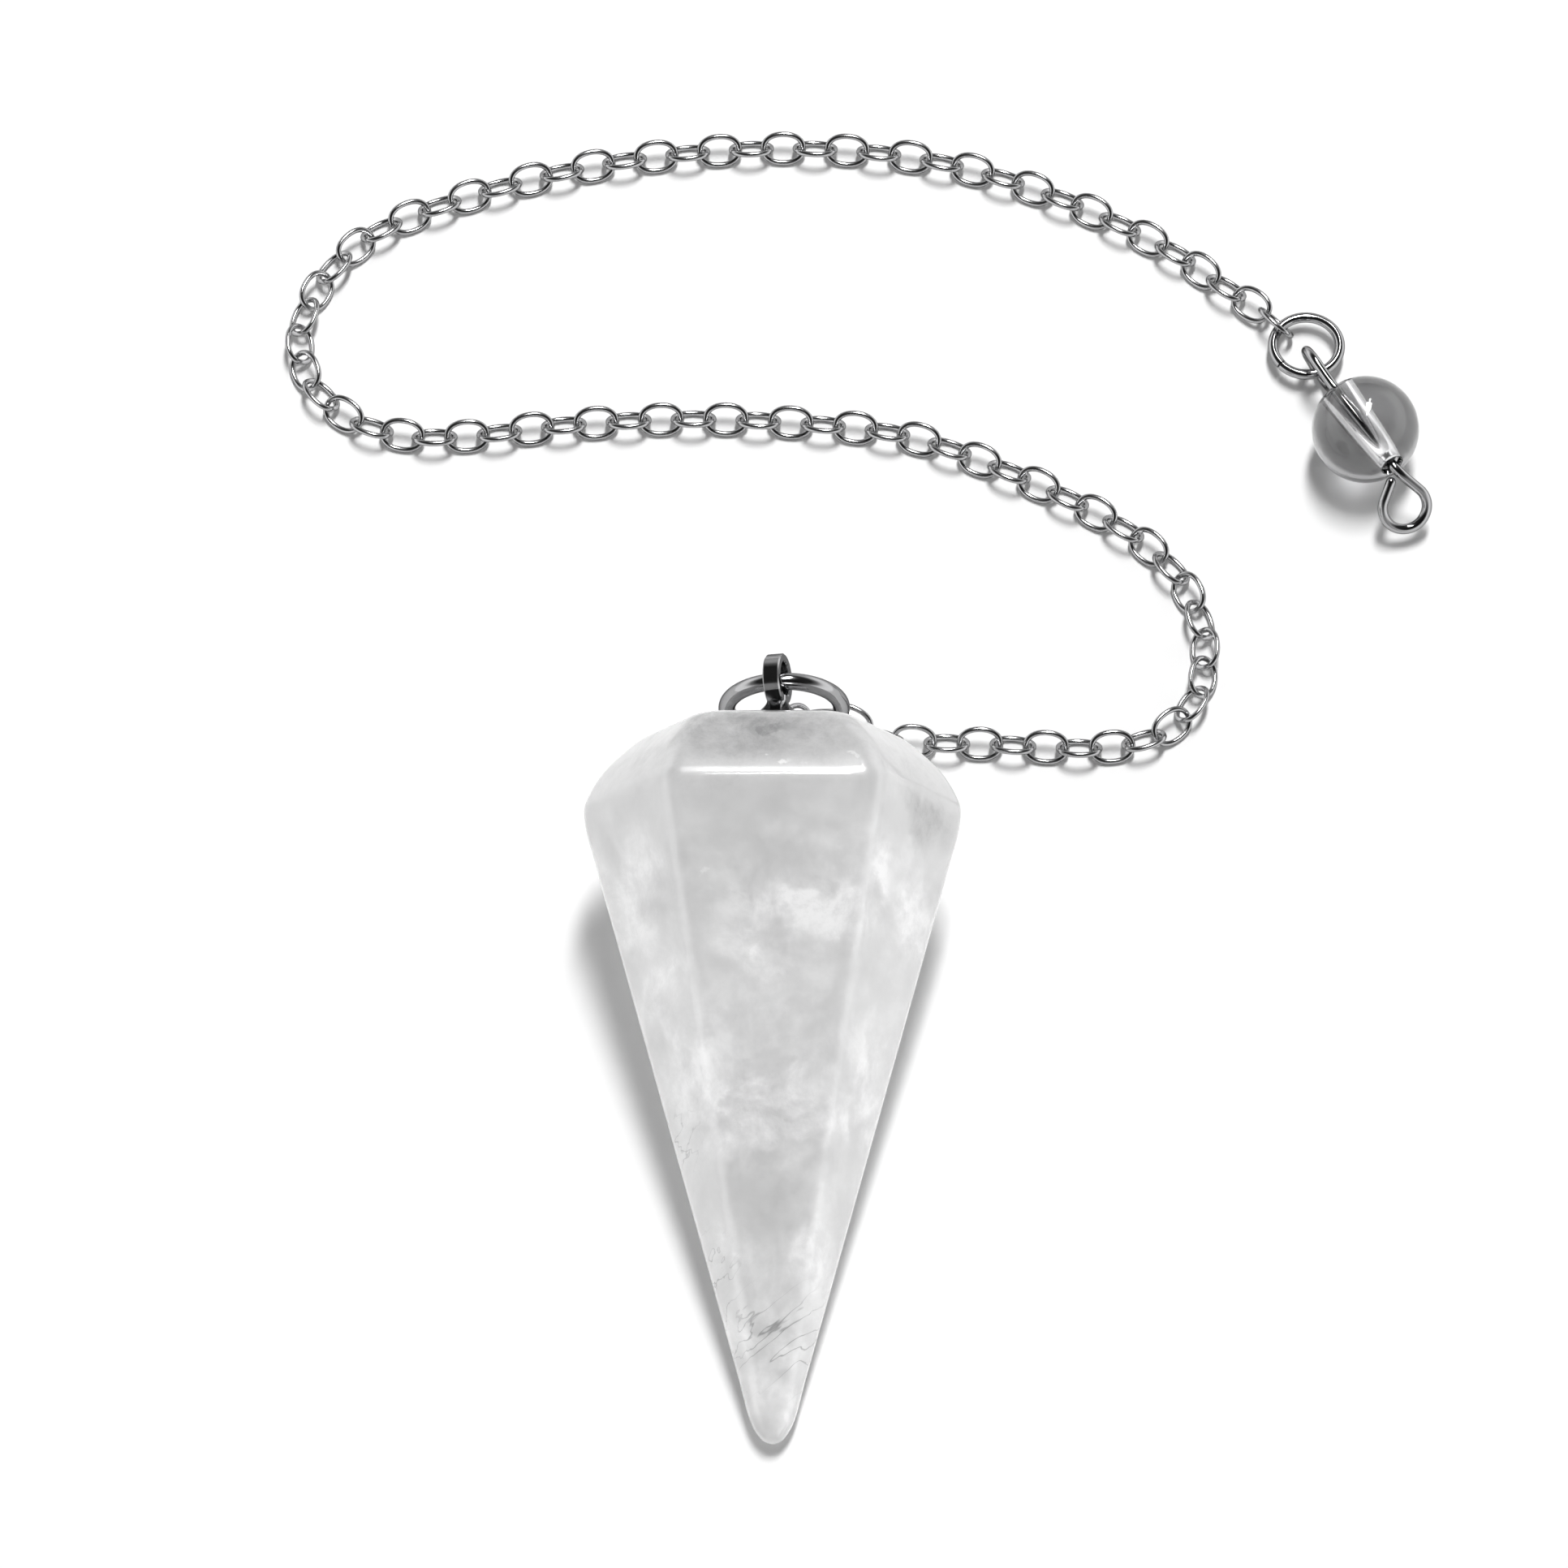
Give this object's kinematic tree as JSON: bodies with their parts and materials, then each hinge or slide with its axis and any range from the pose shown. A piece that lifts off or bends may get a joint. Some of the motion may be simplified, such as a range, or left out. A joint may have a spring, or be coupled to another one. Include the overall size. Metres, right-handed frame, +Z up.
{
  "type": "pendulum pendant",
  "caption": "Faceted clear quartz point in a flared metal cap with an eye and jump ring, on a cable chain that ends in a ring and a round bead on a looped pin, lying flat.",
  "frame": {"origin": "middle of the stone's facet that rests on the table, so the table is the plane z = 0", "axes": "+Z up from the table; the stone's tip points toward -Y and the chain lies toward +Y; +X to the right seen from above"},
  "size_m": [0.0632, 0.0795, 0.016],
  "materials": {
    "quartz": "polished, partly cloudy",
    "plated_metal": "polished",
    "clear_bead": "polished"
  },
  "bodies": {
    "root": {"crystal": "quartz", "bail": "plated_metal", "pendant_ring": "plated_metal", "chain": "plated_metal", "end_ring": "plated_metal", "eye_pin": "plated_metal", "bead": "clear_bead"}
  },
  "joints": []
}
